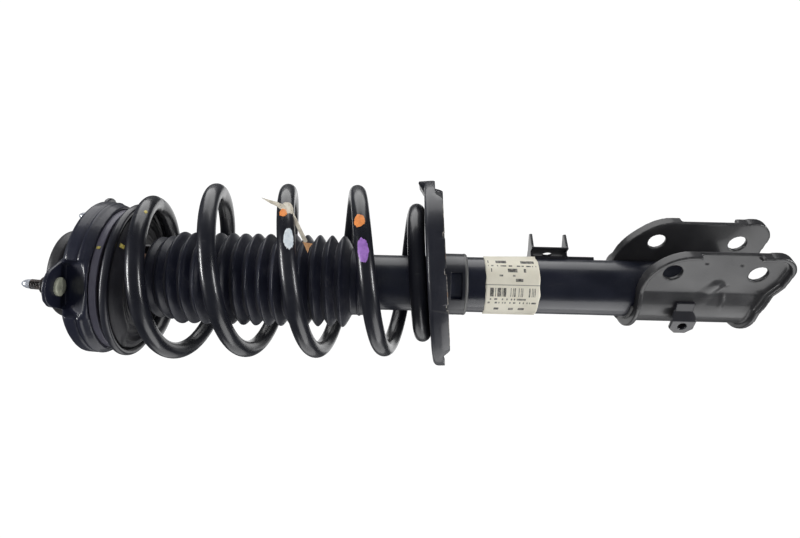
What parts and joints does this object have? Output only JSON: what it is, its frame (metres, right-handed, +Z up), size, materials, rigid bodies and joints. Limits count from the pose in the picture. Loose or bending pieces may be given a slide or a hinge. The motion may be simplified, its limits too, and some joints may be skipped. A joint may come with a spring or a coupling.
{
  "type": "suspension strut assembly",
  "caption": "MacPherson strut with coil spring, dust boot, studded top mount with steering bearing, and a clevis for the wheel knuckle.",
  "frame": {"origin": "where the damper axis meets the top face of the mount plate, at the centre of the stud circle", "axes": "+Z up along the damper axis towards the car body, +X towards the open side of the clevis, +Y across its ears"},
  "size_m": [0.1662, 0.158, 0.6132],
  "materials": {
    "plate_paint": "satin black paint",
    "mount_rubber": "matt",
    "bare_steel": "turned",
    "zinc": "zinc plated",
    "cap_rubber": "matt",
    "race_plastic": "moulded",
    "cover_plastic": "moulded",
    "black_paint": "semi-gloss black paint",
    "foam": "cellular",
    "chrome_rod": "ground and polished",
    "sintered": "sintered",
    "cage_plastic": "moulded",
    "ball_steel": "polished",
    "seat_paint": "semi-gloss black paint",
    "insulator_rubber": "matt",
    "spring_paint": "gloss black powder coat",
    "boot_rubber": "satin moulded",
    "tube_paint": "semi-gloss black paint",
    "bracket_paint": "satin black paint with a grey cast",
    "dark_zinc": "dark zinc",
    "weld_metal": "painted over",
    "label_paper": "matt"
  },
  "bodies": {
    "top_mount": {"mount_plate": "plate_paint", "mount_rubber": "mount_rubber", "mount_sleeve": "bare_steel", "mount_studs": "zinc", "dust_cap": "cap_rubber", "rod_nut": "zinc", "rod_washer": "zinc", "upper_bearing_race": "race_plastic", "bearing_cover": "cover_plastic", "bump_stop_cup": "black_paint", "bump_stop": "foam", "piston_rod": "chrome_rod", "piston": "sintered", "piston_nut": "zinc", "rebound_stop": "mount_rubber"},
    "bearing_row": {"ball_cage": "cage_plastic", "bearing_balls": "ball_steel"},
    "upper_seat": {"lower_bearing_race": "race_plastic", "upper_spring_seat": "seat_paint", "upper_insulator": "insulator_rubber", "coil_spring": "spring_paint", "dust_boot": "boot_rubber"},
    "damper_tube": {"outer_tube": "tube_paint", "gland_cap": "tube_paint", "oil_seal": "mount_rubber", "rod_guide": "sintered", "inner_cylinder": "bare_steel", "base_valve": "sintered", "base_cap": "tube_paint", "lower_spring_seat": "seat_paint", "seat_collar": "tube_paint", "lower_insulator": "insulator_rubber", "knuckle_bracket": "bracket_paint", "hose_bracket": "black_paint", "sensor_bracket": "black_paint", "weld_nut": "dark_zinc", "weld_beads": "weld_metal", "label": "label_paper"}
  },
  "joints": [
    {"name": "steer", "type": "hinge", "parent": "top_mount", "child": "upper_seat", "pos_m": [0, 0, -0.025], "axis": [0, 0, 1], "range_deg": [-35, 35]},
    {"name": "ball_roll", "type": "hinge", "parent": "top_mount", "child": "bearing_row", "pos_m": [0, 0, -0.025], "axis": [0, 0, 1], "range_deg": [-17.5, 17.5]},
    {"name": "stroke", "type": "slide", "parent": "upper_seat", "child": "damper_tube", "axis": [0, 0, 1], "range_m": [0, 0.111], "stiffness_N_per_m": 22000, "springref_m": -0.08, "deforming": ["coil_spring", "dust_boot"]}
  ],
  "couplings": [
    {"joint": "ball_roll", "follows": "steer", "ratio": 0.5}
  ]
}
